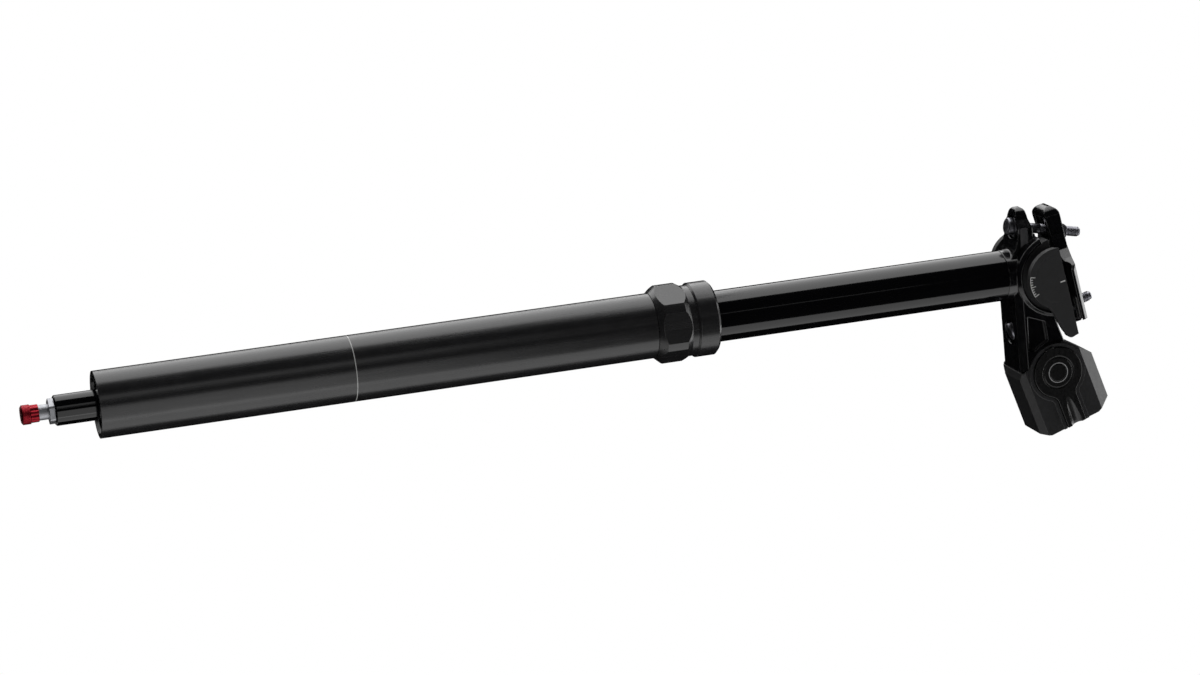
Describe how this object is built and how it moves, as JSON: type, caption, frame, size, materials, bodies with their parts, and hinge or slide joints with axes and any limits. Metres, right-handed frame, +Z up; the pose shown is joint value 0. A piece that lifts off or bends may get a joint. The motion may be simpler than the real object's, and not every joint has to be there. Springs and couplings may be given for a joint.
{
  "type": "dropper seatpost",
  "caption": "Telescoping bicycle seatpost with a hexagon collar, a two-bolt saddle rail clamp, an electronics housing with a rubber cover behind the head and an air valve at the bottom.",
  "frame": {"origin": "On the post's axis, at the bottom end of the lower tube", "axes": "+Z up the post, +X in the riding direction, +Y to the rider's left"},
  "size_m": [0.1151, 0.0504, 0.5353],
  "materials": {
    "anodised_black": "satin black anodised",
    "bare_alloy": "machined, bare",
    "brass": "machined",
    "anodised_red": "red anodised",
    "bumper_rubber": "matt",
    "polished_steel": "polished",
    "bush_plastic": "low-friction plastic",
    "dark_plastic": "fine texture",
    "seal_rubber": "satin",
    "gloss_anodised": "gloss black hard coat",
    "bare_steel": "machined",
    "gloss_black": "gloss black paint",
    "dark_clamp": "matt dark grey paint",
    "dark_steel": "black oxide",
    "cell_wrap": "shrink wrap",
    "board_green": "solder mask",
    "switch_plastic": "matt",
    "cover_rubber": "moulded rubber"
  },
  "bodies": {
    "lower": {"lower_tube": "anodised_black", "bottom_plug": "anodised_black", "valve_stem": "bare_alloy", "valve_nut": "bare_alloy", "valve_core": "brass", "bottom_bumper": "bumper_rubber", "piston_rod": "polished_steel", "main_piston": "bare_alloy", "piston_ring": "bush_plastic", "bush_spacer": "dark_plastic", "top_out_bumper": "bumper_rubber", "upper_bush": "bush_plastic", "hex_collar": "anodised_black", "air_seal": "seal_rubber", "collar_ring": "anodised_black", "wiper_seal": "seal_rubber"},
    "upper": {"stanchion": "gloss_anodised", "lower_bush": "bush_plastic", "keys": "brass", "seal_head": "bare_alloy", "rod_seal": "seal_rubber", "inner_tube": "bare_alloy", "valve_body": "bare_alloy", "motor": "bare_steel", "head": "gloss_black", "housing": "dark_plastic", "housing_lid": "dark_plastic", "lid_gasket": "seal_rubber", "lid_screws": "dark_steel", "mounting_screws": "dark_steel", "battery": "cell_wrap", "circuit_board": "board_green", "charge_port": "bare_steel", "push_switch": "switch_plastic"},
    "clamp": {"lower_clamp": "dark_clamp", "yoke": "gloss_black"},
    "front_nut_body": {"front_nut": "dark_steel"},
    "front_bolt_body": {"front_bolt": "dark_steel", "front_washer": "dark_steel"},
    "rear_nut_body": {"rear_nut": "dark_steel"},
    "rear_bolt_body": {"rear_bolt": "dark_steel", "rear_washer": "dark_steel"},
    "float": {"floating_piston": "bare_alloy", "floating_seals": "seal_rubber"},
    "screw": {"drive_screw": "brass"},
    "needle_body": {"needle": "bare_steel"},
    "cap": {"valve_cap": "anodised_red"},
    "core_pin": {"valve_pin": "brass"},
    "cover": {"rubber_cover": "cover_rubber"},
    "cover_button": {"button": "cover_rubber"}
  },
  "joints": [
    {"name": "post_travel", "type": "slide", "parent": "lower", "child": "upper", "axis": [0, 0, 1], "range_m": [-0.15, 0], "stiffness_N_per_m": 400, "springref_m": 0.1},
    {"name": "clamp_tilt", "type": "hinge", "parent": "upper", "child": "clamp", "pos_m": [-0.0002, 0, 0.47435], "axis": [0, 1, 0], "range_deg": [-10, 10]},
    {"name": "front_nut_turn", "type": "hinge", "parent": "clamp", "child": "front_nut_body", "pos_m": [0.01912, 0, 0.48061], "axis": [0, 1, 0], "range_deg": [-9.2, 9.2]},
    {"name": "front_bolt_travel", "type": "slide", "parent": "front_nut_body", "child": "front_bolt_body", "axis": [-0.2033, 0, 0.9791], "range_m": [-0.0036, 0.0036]},
    {"name": "rear_nut_turn", "type": "hinge", "parent": "clamp", "child": "rear_nut_body", "pos_m": [-0.01907, 0, 0.48773], "axis": [0, 1, 0], "range_deg": [-7.7, 7.7]},
    {"name": "rear_bolt_travel", "type": "slide", "parent": "rear_nut_body", "child": "rear_bolt_body", "axis": [0.284, 0, 0.9588], "range_m": [-0.0039, 0.0039]},
    {"name": "float_travel", "type": "slide", "parent": "upper", "child": "float", "axis": [0, 0, 1], "range_m": [-0.0582, 0]},
    {"name": "screw_turn", "type": "hinge", "parent": "upper", "child": "screw", "pos_m": [0, 0, 0.4], "axis": [0, 0, 1], "range_deg": [0, 361]},
    {"name": "needle_travel", "type": "slide", "parent": "upper", "child": "needle_body", "axis": [0, 0, 1], "range_m": [0, 0.001]},
    {"name": "cap_travel", "type": "slide", "parent": "lower", "child": "cap", "axis": [0, 0, -1], "range_m": [0, 0.012]},
    {"name": "pin_press", "type": "slide", "parent": "lower", "child": "core_pin", "axis": [0, 0, 1], "range_m": [0, 0.0015], "stiffness_N_per_m": 300, "springref_m": -0.001},
    {"name": "cover_flap", "type": "hinge", "parent": "upper", "child": "cover", "pos_m": [-0.03707, 0.0144, 0.46797], "axis": [-0.3173, 0, -0.9483], "range_deg": [0, 100], "stiffness_Nm_per_rad": 0.02, "springref_deg": -11.46},
    {"name": "button_press", "type": "slide", "parent": "cover", "child": "cover_button", "axis": [0, -1, 0], "range_m": [0, 0.0008], "stiffness_N_per_m": 400, "springref_m": -0.0005}
  ],
  "couplings": [
    {"joint": "front_nut_turn", "follows": "clamp_tilt", "ratio": -0.9049},
    {"joint": "front_bolt_travel", "follows": "clamp_tilt", "m_per_rad": 0.020159},
    {"joint": "rear_nut_turn", "follows": "clamp_tilt", "ratio": -0.7558},
    {"joint": "rear_bolt_travel", "follows": "clamp_tilt", "m_per_rad": -0.021877},
    {"joint": "float_travel", "follows": "post_travel", "ratio": 0.387},
    {"joint": "screw_turn", "follows": "needle_travel", "rad_per_m": 6283.2}
  ]
}
